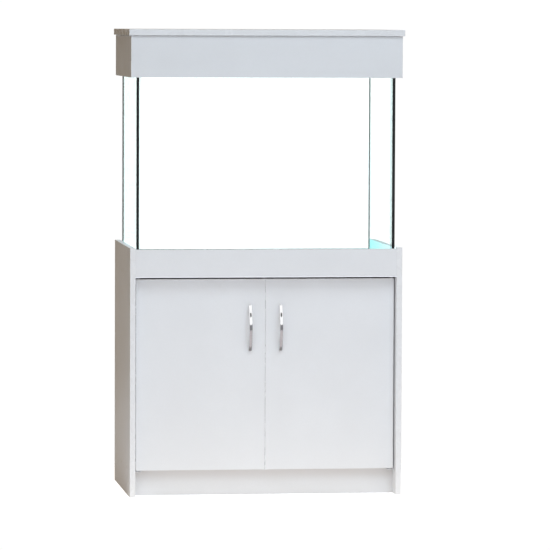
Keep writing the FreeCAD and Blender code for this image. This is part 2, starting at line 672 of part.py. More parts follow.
# ---------------------------------------------------------------- build, check and export

cabinet_boards()
back_panel()
cabinet_fasteners()
upper_plates()
lower_plates()
pivot_pins_and_screws()
doors()
catches()
tank_panes()
silicone()
hood_boards()
lid_hinges()
doc.recompute()

failed = [obj.Name for obj in doc.Objects if {"Invalid", "Error"} & set(obj.State)]
assert not failed, f"failed objects: {failed}"
for name, obj in SUBPARTS.items():
    assert not obj.Shape.isNull() and obj.Shape.isValid(), name + " has no valid shape"
    assert obj.Shape.Solids and obj.Shape.Volume > 0, name + " has no solid"

os.makedirs("parts", exist_ok=True)
for name, obj in SUBPARTS.items():
    obj.Shape.exportStep(f"parts/{name}.step")
box = Part.makeCompound([obj.Shape for obj in SUBPARTS.values()]).optimalBoundingBox(False)
print(len(SUBPARTS), "sub-parts, overall", [round(side, 2) for side in (box.XLength, box.YLength,
                                                                        box.ZLength)])
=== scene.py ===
"""Looks for the aquarium stand cabinet: finishes, finer pieces, studio light and the camera."""

import json
import math

import bmesh
import bpy
from mathutils import Matrix, Vector
from mathutils.noise import noise

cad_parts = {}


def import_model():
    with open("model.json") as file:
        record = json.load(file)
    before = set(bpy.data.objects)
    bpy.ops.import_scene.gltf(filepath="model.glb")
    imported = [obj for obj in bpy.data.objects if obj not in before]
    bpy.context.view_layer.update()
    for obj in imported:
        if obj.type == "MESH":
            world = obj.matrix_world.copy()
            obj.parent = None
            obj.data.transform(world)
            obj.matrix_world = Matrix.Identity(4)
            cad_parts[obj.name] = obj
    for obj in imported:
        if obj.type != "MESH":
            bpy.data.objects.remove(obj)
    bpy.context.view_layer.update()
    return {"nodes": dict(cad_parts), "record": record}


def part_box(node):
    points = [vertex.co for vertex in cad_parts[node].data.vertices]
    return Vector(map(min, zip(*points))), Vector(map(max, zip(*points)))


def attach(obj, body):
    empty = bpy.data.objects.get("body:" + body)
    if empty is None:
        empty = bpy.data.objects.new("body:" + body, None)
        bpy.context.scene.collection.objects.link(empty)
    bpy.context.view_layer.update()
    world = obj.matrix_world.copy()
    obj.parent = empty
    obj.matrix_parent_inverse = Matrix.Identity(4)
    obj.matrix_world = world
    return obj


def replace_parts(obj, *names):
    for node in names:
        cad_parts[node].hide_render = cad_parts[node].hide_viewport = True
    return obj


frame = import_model()
nodes = frame["nodes"]
bodies = frame["record"]["behaviour"]["bodies"]
body_of = {node: body for body, members in bodies.items() for node in members}
scene = bpy.context.scene
MM = 0.001
WELD = 0.02 * MM


# ---------------------------------------------------------------- shader building

class Nodes:
    """Adds linked nodes to a node tree."""

    def __init__(self, tree):
        self.tree = tree

    def add(self, kind, inputs=(), **settings):
        node = self.tree.nodes.new("ShaderNode" + kind)
        for key, value in settings.items():
            setattr(node, key, value)
        for key, value in dict(inputs).items():
            self.feed(node.inputs[key], value)
        return node

    def feed(self, socket, value):
        if isinstance(value, bpy.types.NodeSocket):
            self.tree.links.new(value, socket)
        else:
            socket.default_value = value

    def math(self, operation, *values):
        return self.add("Math", enumerate(values), operation=operation).outputs[0]

    def axes(self, vector):
        """A vector's X, Y and Z."""
        return self.add("SeparateXYZ", {"Vector": vector}).outputs

    def apart(self, first, second):
        """How far apart two values are."""
        return self.math("ABSOLUTE", self.math("SUBTRACT", first, second))

    def inset(self, value, low, high):
        """How far a value is inside the nearer of two limits."""
        return self.math("MINIMUM", self.math("SUBTRACT", value, low), self.math("SUBTRACT", high, value))

    def ramp(self, value, low, high, to_low=0.0, to_high=1.0):
        """The value moved smoothly from low..high to to_low..to_high."""
        values = {"Value": value, "From Min": low, "From Max": high, "To Min": to_low, "To Max": to_high}
        return self.add("MapRange", values, interpolation_type="SMOOTHSTEP").outputs["Result"]

    def mix(self, factor, first, second):
        mixer = self.add("Mix", {"Factor": factor}, data_type="RGBA")
        for name, value in (("A", first), ("B", second)):
            socket = next(s for s in mixer.inputs if s.name == name and s.type == "RGBA")
            self.feed(socket, value if isinstance(value, bpy.types.NodeSocket) else (*value, 1))
        return next(s for s in mixer.outputs if s.type == "RGBA")

    def blend(self, factor, first, second):
        """A mix of two shader nodes."""
        return self.add("MixShader", {0: factor, 1: first.outputs[0], 2: second.outputs[0]})

    def direct_rays(self, path):
        """1 on rays that have met no shiny or matt surface on their way from the camera."""
        return self.math("LESS_THAN", self.math("ADD", path["Glossy Depth"], path["Diffuse Depth"]), 0.5)


class Shader(Nodes):
    """A material made of nodes. Textures run in the part's own frame, so they move with it."""

    def __init__(self, name, **constants):
        self.material = bpy.data.materials.new(name)
        self.material.use_nodes = True
        super().__init__(self.material.node_tree)
        self.surface = self.tree.nodes["Principled BSDF"]
        self.output = self.tree.nodes["Material Output"]
        for key, value in constants.items():
            self.surface.inputs[key.replace("_", " ").title().replace("Ior", "IOR")].default_value = value
        coordinates = self.add("TexCoord")
        self.place = coordinates.outputs["Object"]
        self.facing = coordinates.outputs["Normal"]

    def stretched(self, stretch):
        """The part's coordinates, with each axis multiplied by its stretch."""
        return self.add("VectorMath", {0: self.place, 1: stretch}, operation="MULTIPLY").outputs[0]

    def noise(self, scale, detail=3, roughness=0.5, stretch=(1, 1, 1), distortion=0.0):
        """Noise between 0 and 1, with scale features to the metre."""
        values = {"Vector": self.stretched(stretch), "Scale": scale, "Detail": detail,
                  "Roughness": roughness, "Distortion": distortion}
        return self.add("TexNoise", values).outputs["Fac"]

    def colour(self, value):
        self.feed(self.surface.inputs["Base Color"], value)

    def rough(self, value):
        self.feed(self.surface.inputs["Roughness"], value)

    def bump(self, *layers):
        """Bump layers, each a height between 0 and 1 and the distance that 1 stands for."""
        normal = None
        for height, distance in layers:
            values = {"Height": height, "Distance": distance, "Strength": 1.0}
            if normal is not None:
                values["Normal"] = normal
            normal = self.add("Bump", values).outputs["Normal"]
        self.feed(self.surface.inputs["Normal"], normal)

    def show(self, shader):
        """Puts a shader node on the output in place of the plain surface."""
        self.tree.links.new(shader.outputs[0], self.output.inputs["Surface"])


def shaded(colour, *shades):
    """A colour times one shade for all its channels, or one for each."""
    shades = shades if len(shades) > 1 else shades * 3
    return tuple(c * k for c, k in zip(colour, shades))


def thin_axis(node):
    """The axis along which a board or pane is thinnest."""
    low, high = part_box(node)
    return min(range(3), key=lambda axis: high[axis] - low[axis])


def dress(name, shader):
    """Gives a CAD node or a piece its only material."""
    obj = nodes[name] if isinstance(name, str) else name
    obj.data.materials.clear()
    obj.data.materials.append(shader.material)


def round_edges(name, width, segments=3, inset=0.0):
    """Rounds a CAD node's arrises, after drawing its faces in by inset."""
    obj = nodes[name]
    weld = obj.modifiers.new("weld", "WELD")
    weld.merge_threshold = WELD
    if inset:
        shrink = obj.modifiers.new("joint", "DISPLACE")
        shrink.mid_level = 0
        shrink.strength = -inset * math.sqrt(3)
    bevel = obj.modifiers.new("arris", "BEVEL")
    bevel.width = width
    bevel.segments = segments
    bevel.limit_method = "ANGLE"
    bevel.angle_limit = math.radians(40)
    bevel.harden_normals = True


# ---------------------------------------------------------------- finishes

BLACK, WHITE = (0, 0, 0), (1, 1, 1)
BOARD_WHITE, TAPE_WHITE = (0.845, 0.855, 0.868), (0.885, 0.890, 0.897)
JOINT_GREY, HANDLED_GREY = (0.42, 0.40, 0.38), (0.62, 0.58, 0.53)
# The hood's and lid's greyer white is painted shade, standing in for the lamps' weaker light high up.
HOOD_PAINTED_SHADE, PLINTH_PAINTED_SHADOW = (0.935, 0.945, 0.955), (0.82, 0.79, 0.77)
TAPE, TAPE_BLEND, TAPE_JOINT, HANDLED = 1.0 * MM, 0.1 * MM, 0.22 * MM, 6 * MM
# The plinth's darker tone above this share of its height is a painted shadow from the doors' overhang.
SHADED_ABOVE = 0.45

# Painted stray light, drawn as emission: its colours, the depth of its film on a face, and where it starts.
PIPED_LIGHT_BACK, PIPED_LIGHT_FRONT = (0.60, 1.35, 1.38), (1.08, 1.33, 1.40)
TOP_LIGHT, TOP_LIGHT_GLAZED = (0.22, 0.27, 0.32), (0.52, 0.58, 0.64)
SLOT_LIGHT, ARRIS_LIGHT = (0.10, 0.10, 0.105), (0.22, 0.22, 0.27)
GLOW_FILM, GLOW_CREST = 0.5 * MM, 0.4 * MM
GLOW_ABOVE_DECK, GLOW_BESIDE_GLASS = (2 * MM, 10 * MM), (-2 * MM, 4 * MM)
GLOW_ON_FACE, GLOW_ON_FOOT = (0.2 * MM, 0.8 * MM), (1.5 * MM, 3 * MM)
LEFT_SHARE = 0.6


def melamine(node):
    """White melamine-faced board, with its edging seen as a fine line just inside each arris."""
    # The hood's and lid's boards are drawn greyer: painted shade for the weaker lamp light up there.
    shade = HOOD_PAINTED_SHADE if node.startswith(("hood", "lid")) else WHITE
    white = shaded(BOARD_WHITE, *shade)
    low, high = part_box(node)
    shader = Shader("melamine_" + node, Specular_IOR_Level=0.42)
    axes = shader.axes(shader.place)
    wide = [axis for axis in range(3) if axis != thin_axis(node)]
    edge = shader.math("MINIMUM", *(shader.inset(axes[axis], low[axis], high[axis]) for axis in wide))
    tape = shader.ramp(edge, TAPE, TAPE + TAPE_BLEND, 1, 0)
    joint = shader.ramp(shader.apart(edge, TAPE), 0, TAPE_JOINT, 1, 0)
    cloud = shader.ramp(shader.noise(7, 4, 0.55), 0.3, 0.7)
    pearl = shader.ramp(shader.noise(160, 2, 0.6), 0.3, 0.7)
    handled = shader.math("MULTIPLY", shader.ramp(edge, 0, HANDLED, 1, 0),
                          shader.ramp(shader.noise(45, 4, 0.7), 0.52, 0.74))
    base = shader.mix(cloud, white, shaded(white, 0.975))
    for mask, strength, tone in ((pearl, 0.35, shaded(white, 0.96)),
                                 (tape, 0.7, shaded(TAPE_WHITE, *shade)),
                                 (joint, 0.30, JOINT_GREY),
                                 (handled, 0.08, HANDLED_GREY)):
        base = shader.mix(shader.math("MULTIPLY", mask, strength), base, tone)
    # Painted shadow: the plinth darkens toward its top, where the doors overhang it.
    if node == "plinth_board":
        shadow = shader.ramp(axes[2], SHADED_ABOVE * high.z, high.z)
        base = shader.mix(shadow, base, shaded(white, *PLINTH_PAINTED_SHADOW))
    shader.colour(base)
    smudge = shader.ramp(shader.noise(18, 5, 0.6, distortion=0.6), 0.35, 0.7, 0.30, 0.42)
    shader.rough(shader.math("SUBTRACT", smudge, shader.math("MULTIPLY", tape, 0.08)))
    stray_light(shader, node, *axes)
    shader.bump((shader.noise(1300, 2, 0.6), 0.012 * MM), (shader.noise(28, 2), 0.03 * MM),
                (shader.math("SUBTRACT", 1.0, joint), 0.05 * MM))
    return shader


def stray_light(shader, node, x, y, z):
    """Painted light, as an emission standing in for faint light that the lamps' few bounces miss: carried
    by the glass onto the side panels, into the slots at the doors' edges, and along the fascia's lower
    arris."""
    low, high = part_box(node)
    if node.startswith("side_panel"):
        light = panel_light(shader, low, high, x, y, z)
    elif node.startswith("door"):
        slot = shader.ramp(shader.inset(x, low.x, high.x), 0, GLOW_FILM, 1, 0)
        light = shader.mix(slot, BLACK, SLOT_LIGHT)
    elif node == "fascia":
        face = shader.ramp(y, *(low.y + depth for depth in GLOW_ON_FACE), 1, 0)
        foot = shader.ramp(z, *(low.z + rise for rise in GLOW_ON_FOOT), 1, 0)
        light = shader.mix(shader.math("MULTIPLY", face, foot), BLACK, ARRIS_LIGHT)
    else:
        return
    shader.feed(shader.surface.inputs["Emission Color"], light)
    shader.surface.inputs["Emission Strength"].default_value = 1.0


def panel_light(shader, low, high, x, y, z):
    """Painted light: an aqua glow on a side panel's inner face beside the glass, and a paler glowing line
    along its top.
    """
    left = high.x < 0
    glass_front, glass_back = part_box("tank_front")[0].y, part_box("tank_back")[1].y
    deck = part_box("deck_board")[1].z
    inner = shader.ramp(shader.apart(x, high.x if left else low.x), 0, GLOW_FILM, 1, 0)
    beside = shader.ramp(y, *(glass_front + depth for depth in GLOW_BESIDE_GLASS))
    above = shader.ramp(z, *(deck + rise for rise in GLOW_ABOVE_DECK), 0, LEFT_SHARE if left else 1)
    lit = shader.math("MULTIPLY", shader.math("MULTIPLY", inner, beside), above)
    piped = shader.mix(shader.ramp(y, glass_front, glass_back), PIPED_LIGHT_FRONT, PIPED_LIGHT_BACK)
    crest = TOP_LIGHT if left else shader.mix(beside, TOP_LIGHT, TOP_LIGHT_GLAZED)
    top = shader.mix(shader.ramp(z, high.z - GLOW_CREST, high.z), BLACK, crest)
    return shader.mix(lit, top, piped)


def hardboard():
    """Brown fibre outside with its pressed mesh, and a white painted face inside."""
    shader = Shader("hardboard")
    outside = shader.axes(shader.facing)["Y"]
    fibres = shader.noise(900, 6, 0.7, stretch=(1, 1, 2.2), distortion=0.4)
    blotch = shader.noise(14, 5, 0.6)
    brown = shader.mix(shader.ramp(fibres, 0.3, 0.72), (0.205, 0.120, 0.066), (0.36, 0.238, 0.145))
    brown = shader.mix(shader.ramp(blotch, 0.35, 0.7, 0, 0.55), brown, (0.25, 0.155, 0.09))
    mottle = shader.ramp(shader.noise(60, 4, 0.6), 0.3, 0.7)
    paint = shader.mix(mottle, (0.80, 0.80, 0.79), (0.765, 0.765, 0.755))
    shader.colour(shader.mix(shader.ramp(outside, 0.2, 0.6), paint, brown))
    weave = {"Vector": shader.place, "Scale": 210, "Distortion": 0.6, "Detail": 1}
    warp, weft = (shader.add("TexWave", weave, bands_direction=way).outputs["Fac"] for way in "XZ")
    shader.rough(shader.ramp(fibres, 0.3, 0.7, 0.62, 0.80))
    shader.bump((shader.math("MULTIPLY", warp, weft), 0.10 * MM), (fibres, 0.05 * MM))
    return shader


def foam():
    """Dark closed-cell foam with a matt skin."""
    shader = Shader("closed_cell_foam", Specular_IOR_Level=0.25)
    cells = shader.add("TexVoronoi", {"Vector": shader.place, "Scale": 650}).outputs["Distance"]
    skin = shader.noise(40, 4, 0.6)
    shade = shader.mix(shader.ramp(cells, 0.05, 0.55), (0.045, 0.046, 0.050), (0.085, 0.086, 0.090))
    shader.colour(shader.mix(shader.ramp(skin, 0.4, 0.75, 0, 0.5), shade, (0.12, 0.12, 0.122)))
    shader.rough(shader.ramp(skin, 0.3, 0.7, 0.82, 0.95))
    shader.bump((cells, 0.35 * MM), (skin, 0.5 * MM))
    return shader


GLASS_FACE, GLASS_GRAZE = (0.985, 0.997, 0.995), (0.93, 0.985, 0.985)
GLASS_EDGE_AND_SHADE, GLASS_SHADOW = (0.04, 0.10, 0.13), (0.93, 0.985, 0.98, 1)
GLASS_DEPTH, GLASS_DEPTH_DENSITY = (0.2, 0.85, 0.87, 1), 4.0
GLASS_IOR = 1.5
MIRROR_BASE, MIRROR_RISE = 0.12, 0.13


def float_glass(node):
    """Clear float glass, aqua where it is seen at a slant, with ground edges whose near-black green is
    partly their own tint and partly painted shade.
    """
    shader = Shader("float_glass_" + node)
    flat = shader.math("ABSOLUTE", shader.axes(shader.facing)[thin_axis(node)])
    graze = shader.add("LayerWeight", {"Blend": 0.5}).outputs["Facing"]
    tint = shader.mix(shader.ramp(graze, 0.35, 0.95), GLASS_FACE, GLASS_GRAZE)
    grain = shader.ramp(shader.noise(240, 3, 0.6), 0.3, 0.7)
    # The edges' near-black green is partly the glass's own tint and partly painted shade for the light lost
    # inside the pane.
    ground_edge_and_shade = shader.mix(grain, GLASS_EDGE_AND_SHADE, shaded(GLASS_EDGE_AND_SHADE, 0.7))
    tint = shader.mix(shader.ramp(flat, 0.35, 0.75), ground_edge_and_shade, tint)
    haze = shader.ramp(shader.noise(9, 5, 0.65, distortion=0.8), 0.5, 0.85, 0, 0.012)
    bend = shader.add("BsdfRefraction", {"Color": tint, "IOR": GLASS_IOR, "Roughness": 0.0})
    mirror = shader.add("BsdfGlossy", {"Color": (1, 1, 1, 1), "Roughness": haze})
    fresnel = shader.add("Fresnel", {"IOR": GLASS_IOR}).outputs[0]
    ceiling = shader.math("MULTIPLY_ADD", fresnel, MIRROR_RISE, MIRROR_BASE)
    pane = shader.blend(shader.math("MINIMUM", fresnel, ceiling), bend, mirror)
    clear = shader.add("BsdfTransparent", {"Color": GLASS_SHADOW})
    shader.show(shader.blend(shader.add("LightPath").outputs["Is Shadow Ray"], pane, clear))
    depth = shader.add("VolumeAbsorption", {"Color": GLASS_DEPTH, "Density": GLASS_DEPTH_DENSITY})
    shader.feed(shader.output.inputs["Volume"], depth.outputs[0])
    shader.tree.nodes.remove(shader.surface)
    return shader


SILICONE_FRONT, SILICONE_BACK = (0.88, 0.91, 0.91), (0.42, 0.435, 0.44)
SILICONE_DEPTH, SILICONE_BODY = (0.0, 0.1), 0.10


def clear_silicone():
    """Clear sealant with a faint milky body, darker toward the tank's back."""
    shader = Shader("clear_silicone", IOR=1.41)
    ripple = shader.noise(120, 3, 0.5, stretch=(1, 1, 0.3))
    shader.colour(shader.mix(shader.ramp(ripple, 0.3, 0.7), (0.84, 0.90, 0.90), (0.72, 0.80, 0.81)))
    shader.rough(shader.ramp(ripple, 0.3, 0.7, 0.22, 0.38))
    shader.bump((ripple, 0.3 * MM))
    behind = shader.ramp(shader.axes(shader.place)["Y"], *SILICONE_DEPTH)
    through = shader.add("BsdfTransparent", {"Color": shader.mix(behind, SILICONE_FRONT, SILICONE_BACK)})
    shader.show(shader.blend(SILICONE_BODY, through, shader.surface))
    return shader


def chrome():
    shader = Shader("bright_chrome", Metallic=1.0)
    rub = shader.noise(60, 5, 0.65, stretch=(1, 1, 0.25), distortion=0.4)
    shader.colour(shader.mix(shader.ramp(rub, 0.3, 0.75), (0.83, 0.835, 0.85), (0.76, 0.765, 0.78)))
    shader.rough(shader.ramp(rub, 0.35, 0.8, 0.035, 0.12))
    shader.bump((shader.noise(90, 2), 0.02 * MM))
    return shader


ZINC, PIN_ZINC, SCREW_ZINC = (0.62, 0.63, 0.66), (0.70, 0.71, 0.73), (0.66, 0.66, 0.66)
DULL_ZINC, DARK_ZINC = (0.80, 0.81, 0.83), (0.20, 0.19, 0.165)
PASSIVATION = (0.02, 0.10, 0.42)  # the share of each channel that a full yellow film takes


def zinc(name, shade=ZINC, yellow=0.0, metallic=1.0):
    """Bright zinc plate, with fine rolling lines and a mottled passivated film."""
    shader = Shader(name, Metallic=metallic)
    film = shader.noise(190, 5, 0.65, distortion=0.7)
    lines = shader.noise(1100, 3, 0.6, stretch=(0.06, 1, 1))
    warm = shaded(shade, *(1 - yellow * loss for loss in PASSIVATION))
    shader.colour(shader.mix(shader.ramp(film, 0.35, 0.7), shade, shaded(warm, 0.82)))
    shader.rough(shader.ramp(film, 0.3, 0.75, 0.24, 0.44))
    shader.bump((lines, 0.012 * MM), (film, 0.02 * MM))
    return shader


def white_plastic():
    shader = Shader("white_plastic", Specular_IOR_Level=0.45)
    grain = shader.noise(700, 3, 0.6)
    mottle = shader.ramp(shader.noise(90, 3), 0.3, 0.7)
    shader.colour(shader.mix(mottle, (0.82, 0.82, 0.80), (0.775, 0.775, 0.75)))
    shader.rough(shader.ramp(grain, 0.3, 0.7, 0.36, 0.50))
    shader.bump((grain, 0.02 * MM))
    return shader


def ferrite():
    shader = Shader("ferrite", Specular_IOR_Level=0.6)
    grain = shader.noise(1200, 4, 0.7)
    shader.colour(shader.mix(shader.ramp(grain, 0.35, 0.7), (0.045, 0.045, 0.050), (0.11, 0.11, 0.118)))
    shader.rough(shader.ramp(grain, 0.3, 0.7, 0.45, 0.70))
    shader.bump((grain, 0.06 * MM))
    return shader


def softwood():
    """Planed pine whose rings run along the part's depth."""
    shader = Shader("softwood", Specular_IOR_Level=0.3)
    warp = shader.noise(5, 3, 0.5, stretch=(1, 0.25, 1))
    rings = shader.add("TexWave", {"Vector": shader.stretched((1, 0.07, 1.35)), "Scale": 46,
                                   "Distortion": 7.0, "Detail": 3, "Detail Scale": 0.7,
                                   "Detail Roughness": 0.6}, bands_direction="X").outputs["Fac"]
    fibres = shader.noise(800, 4, 0.7, stretch=(1, 0.03, 1))
    wood = shader.mix(shader.ramp(rings, 0.15, 0.9), (0.70, 0.50, 0.295), (0.52, 0.325, 0.165))
    wood = shader.mix(shader.ramp(fibres, 0.42, 0.7, 0, 0.45), wood, (0.44, 0.27, 0.14))
    shader.colour(shader.mix(shader.ramp(warp, 0.4, 0.65, 0, 0.35), wood, (0.76, 0.57, 0.36)))
    shader.rough(shader.ramp(fibres, 0.3, 0.7, 0.52, 0.70))
    shader.bump((fibres, 0.08 * MM), (rings, 0.05 * MM))
    return shader


# ---------------------------------------------------------------- mesh helpers

def placed(name, data):
    """A new object in the scene."""
    obj = bpy.data.objects.new(name, data)
    scene.collection.objects.link(obj)
    return obj


def piece(name, mesh, body, shader, sharp=None):
    """An object from a bmesh in the shared frame, which rides on a body and takes a finish.
    Edges that turn by more than sharp, in degrees, stay crisp."""
    data = bpy.data.meshes.new(name)
    bmesh.ops.recalc_face_normals(mesh, faces=mesh.faces)
    mesh.to_mesh(data)
    mesh.free()
    data.shade_smooth()
    if sharp:
        data.set_sharp_from_angle(angle=math.radians(sharp))
    obj = placed(name, data)
    dress(obj, shader)
    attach(obj, body)
    return obj


def islands(node):
    """The separate solids of a CAD node, each as its list of points."""
    mesh = bmesh.new()
    mesh.from_mesh(nodes[node].data)
    bmesh.ops.remove_doubles(mesh, verts=mesh.verts, dist=WELD)
    todo, found = set(mesh.verts), []
    while todo:
        stack, solid = [todo.pop()], []
        while stack:
            vertex = stack.pop()
            solid.append(vertex.co.copy())
            for edge in vertex.link_edges:
                other = edge.other_vert(vertex)
                if other in todo:
                    todo.remove(other)
                    stack.append(other)
        found.append(solid)
    mesh.free()
    found.sort(key=lambda solid: tuple(round(sum(p[a] for p in solid) / len(solid), 5) for a in range(3)))
    return found


def extent(points):
    """The low and high corners of the points' box."""
    low = Vector(min(p[a] for p in points) for a in range(3))
    high = Vector(max(p[a] for p in points) for a in range(3))
    return low, high


def upright_to(facing):
    """The turn that brings Z to a direction."""
    return Vector((0, 0, 1)).rotation_difference(facing).to_matrix()


def ring_of(mesh, radius, height, origin, turn, steps):
    """A ring of points about turn's Z, or one point where the radius is 0. height is a function
    of a point's X and Y."""
    ring = []
    for i in range(steps if radius else 1):
        angle = 2 * math.pi * i / steps
        x, y = radius * math.cos(angle), radius * math.sin(angle)
        ring.append(mesh.verts.new(origin + turn @ Vector((x, y, height(x, y)))))
    return ring


def join(mesh, rings):
    """Faces between each ring and the next. A ring can be a single point."""
    for lower, upper in zip(rings, rings[1:]):
        for i in range(max(len(lower), len(upper))):
            quad = [lower[i % len(lower)], lower[(i + 1) % len(lower)],
                    upper[(i + 1) % len(upper)], upper[i % len(upper)]]
            mesh.faces.new(list(dict.fromkeys(quad)))


def loft(mesh, rings):
    """A closed form through rings of points, with flat ends."""
    join(mesh, rings)
    mesh.faces.new(rings[0])
    mesh.faces.new(list(reversed(rings[-1])))


def lathe(mesh, profile, origin, turn, steps, rings=()):
    """Adds a turned form about turn's Z. The profile gives radius and height from the origin,
    and can carry on from rings that are there already."""
    turned = [ring_of(mesh, radius, lambda x, y: height, origin, turn, steps) for radius, height in profile]
    join(mesh, [*rings, *turned])


END_SHARE = 0.2


def screw_frame(points):
    """A fastener's head centre, the direction its head faces, its head's radius and its length."""
    low, high = extent(points)
    size = high - low
    along = max(range(3), key=lambda a: size[a])
    middle = (low + high) / 2

    def radius_at(end):
        """The widest reach from the axis, in the share of the length that is nearest to one end."""
        reach = 0
        for point in points:
            if abs(point[along] - end[along]) < END_SHARE * size[along]:
                across = point - middle
                across[along] = 0
                reach = max(reach, across.length)
        return reach

    sign, head = (1, high) if radius_at(high) >= radius_at(low) else (-1, low)
    facing = Vector([sign if a == along else 0 for a in range(3)])
    middle[along] = head[along]
    return middle, facing, radius_at(head), size[along]


HEAD_STEPS, HEAD_RINGS, SCREW_TURN, TIP_GAP = 48, 9, 0.9, 0.1 * MM
# A cross screw's measures, as shares of its head's radius.
CROSS_ARM, CROSS_WIDTH, CROSS_DEPTH = 0.62, 0.17, 0.42
HEAD_RIM, HEAD_UNDER, HEAD_EDGE, HEAD_NECK = 0.22, 0.30, 0.98, 0.55
SHANK_FLAT, SHANK_DOMED = 0.46, 0.38
# How much of the cross's width its walls take, and of its depth is lost along an arm.
CROSS_WALL, CROSS_TAPER = 0.35, 0.45


def cross_screws(node, shader, dome=0.0):
    """Screws with a cross recess in place of a CAD node's plain ones. dome is the head's crown."""
    mesh = bmesh.new()
    for points in islands(node):
        top, facing, radius, length = screw_frame(points)
        turn = upright_to(facing) @ Matrix.Rotation(SCREW_TURN * noise(top * 90), 3, "Z")
        rim = cross_head(mesh, top, turn, radius, dome)
        shank = (SHANK_DOMED if dome else SHANK_FLAT) * radius
        profile = [(radius * HEAD_EDGE, -HEAD_UNDER * radius), (shank, -HEAD_NECK * radius),
                   (shank, -(length - shank)), (0, -length + TIP_GAP)]
        lathe(mesh, profile, top, turn, HEAD_STEPS, [rim])
    obj = piece(node + "_cross", mesh, body_of[node], shader, sharp=38)
    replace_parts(obj, node)


def cross_head(mesh, top, turn, radius, dome):
    """A head's upper face with a tapered cross sunk into it, and its rim. Returns the rim's lower ring."""
    arm, width = CROSS_ARM * radius, CROSS_WIDTH * radius

    def height(x, y):
        reach = math.hypot(x, y)
        crown = dome * (1 - (reach / radius) ** 2) - dome
        inside = max(min(width - abs(y), arm - abs(x)), min(width - abs(x), arm - abs(y)))
        sunk = min(max(inside / (CROSS_WALL * width), 0), 1)
        return crown - CROSS_DEPTH * radius * sunk * (1 - CROSS_TAPER * reach / arm)

    rings = [ring_of(mesh, radius * i / HEAD_RINGS, height, top, turn, HEAD_STEPS)
             for i in range(HEAD_RINGS + 1)]
    drop = turn @ Vector((0, 0, HEAD_RIM * radius))
    rings.append([mesh.verts.new(point.co - drop) for point in rings[-1]])
    join(mesh, rings)
    return rings[-1]


# ---------------------------------------------------------------- pieces

# How wide the arrises of each kind of part are rounded.
ARRIS = {"board": 0.9 * MM, "door": 0.6 * MM, "pane": 0.6 * MM, "timber": 0.7 * MM, "case": 0.8 * MM,
         "plate": 0.25 * MM, "pin": 0.3 * MM, "magnet": 0.3 * MM, "bush": 0.2 * MM, "nail": 0.2 * MM}


def boards():
    for node in ("side_panel_left", "side_panel_right", "fascia", "deck_board", "bottom_board",
                 "centre_partition", "plinth_board", "rear_rail", "door_left", "door_right",
                 "hood_front", "hood_back", "hood_side_left", "hood_side_right", "lid_board"):
        dress(node, melamine(node))
        round_edges(node, ARRIS["door" if node.startswith("door") else "board"])


# A cap's outline, as shares of its radius and its thickness.
CAP_PROFILE = ((0, 0), (0.98, 0), (1, 0.25), (0.96, 0.62), (0.82, 0.86), (0.4, 0.98), (0, 1))
CAP_STEPS = 40


def caps():
    """Press-in caps with a slight crown and a soft rim."""
    shader = white_plastic()
    for side, facing in (("left", Vector((-1, 0, 0))), ("right", Vector((1, 0, 0)))):
        node = "screw_caps_" + side
        mesh = bmesh.new()
        for points in islands(node):
            low, high = extent(points)
            radius, thick = (high.z - low.z) / 2, high.x - low.x
            foot = (low + high) / 2 - facing * thick / 2
            profile = [(radius * reach, thick * rise) for reach, rise in CAP_PROFILE]
            lathe(mesh, profile, foot, upright_to(facing), CAP_STEPS)
        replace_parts(piece(node + "_crowned", mesh, body_of[node], shader), node)


def bow_section(inner, outer, half_width, corner, points=28):
    """A rounded ring of the handle's band between its inner and its outer line."""
    middle = (inner + outer) / 2
    across = (outer - inner) / 2
    ring = []
    for i in range(points):
        angle = 2 * math.pi * i / points
        c, s = math.cos(angle), math.sin(angle)
        u = math.copysign(abs(c) ** (2 / corner), c)
        v = math.copysign(abs(s) ** (2 / corner), s)
        ring.append(middle + Vector((u * half_width, 0, 0)) + across * v)
    return ring


def arc_points(start, crest, steps):
    """Half of a symmetric arc in the Y-Z plane, from its end to its crest at height 0."""
    half, rise = start.z, start.y - crest
    radius = (half * half + rise * rise) / (2 * rise)
    centre = crest + radius
    final = math.asin(half / radius)
    for i in range(steps + 1):
        angle = final * (1 - i / steps)
        yield Vector((0, centre - radius * math.cos(angle), radius * math.sin(angle)))


HANDLE_BAND, HANDLE_FOOT, HANDLE_HEEL = 5.5 * MM, 11 * MM, 6 * MM
HANDLE_FILLET = (0.6 * MM, 0.9 * MM)
BOW_STEPS, BOW_WAIST = 30, 0.17
FOOT_CORNER, BOW_CORNER = 5.0, 2.8


